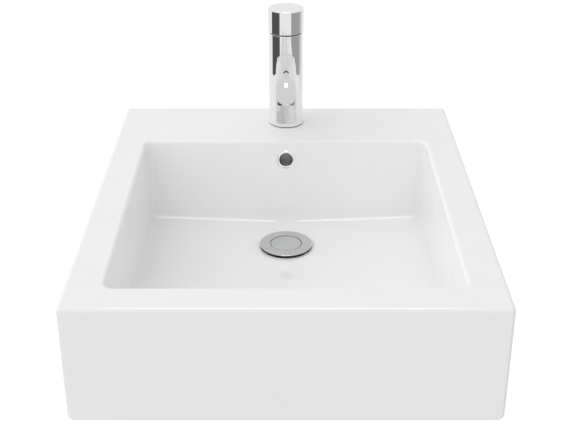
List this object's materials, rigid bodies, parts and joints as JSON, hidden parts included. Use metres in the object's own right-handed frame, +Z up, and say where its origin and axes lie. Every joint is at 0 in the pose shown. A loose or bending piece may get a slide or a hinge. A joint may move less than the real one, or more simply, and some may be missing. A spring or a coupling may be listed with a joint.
{
  "type": "semi-recessed basin",
  "caption": "Rectangular semi-recessed washbasin in white ceramic, with overflow, push-open waste and a fitted single-hole mixer tap whose top turns.",
  "frame": {"origin": "middle of the rear lip's bearing face, in the plane on which the rim rests on the counter", "axes": "+Z up, +Y to the back (towards the wall), +X to the right seen from the front"},
  "size_m": [0.44, 0.53, 0.346],
  "materials": {
    "sanitary_ceramic": "glossy white glaze",
    "chrome_plate": "polished chrome plate on brass",
    "black_rubber": "moulded EPDM, matte",
    "grey_plastic": "moulded acetal, satin",
    "black_plastic": "moulded polypropylene, matte",
    "stainless_steel": "plain drawn stainless steel",
    "plain_brass": "turned brass"
  },
  "bodies": {
    "basin": {"basin_shell": "sanitary_ceramic", "overflow_ring": "chrome_plate", "waste_flange_seal": "black_rubber", "waste_body": "chrome_plate", "waste_cone_washer": "black_rubber", "waste_slip_washer": "grey_plastic", "waste_backnut": "black_plastic", "click_housing": "grey_plastic", "click_spring": "stainless_steel", "tap_base_ring": "chrome_plate", "tap_base_seal": "black_rubber", "tap_body": "chrome_plate", "spout": "chrome_plate", "aerator": "grey_plastic", "aerator_washer": "black_rubber", "cartridge_seal": "black_rubber", "cartridge_body": "grey_plastic", "cartridge_nut": "plain_brass", "shadow_ring": "black_plastic", "fixing_studs": "stainless_steel", "horseshoe_rubber": "black_rubber", "horseshoe_plate": "stainless_steel", "fixing_nuts": "stainless_steel"},
    "plug": {"plug_cap": "chrome_plate", "plug_seal": "black_rubber", "plug_stem": "plain_brass"},
    "control": {"handle": "chrome_plate", "cartridge_spindle": "plain_brass", "handle_screw": "stainless_steel"}
  },
  "joints": [
    {"name": "plug_lift", "type": "slide", "parent": "basin", "child": "plug", "axis": [0, 0, 1], "range_m": [0, 0.006], "deforming": ["click_spring"]},
    {"name": "control_turn", "type": "hinge", "parent": "basin", "child": "control", "pos_m": [0, -0.0475, 0.154], "axis": [0, 0, 1], "range_deg": [0, 110]}
  ]
}
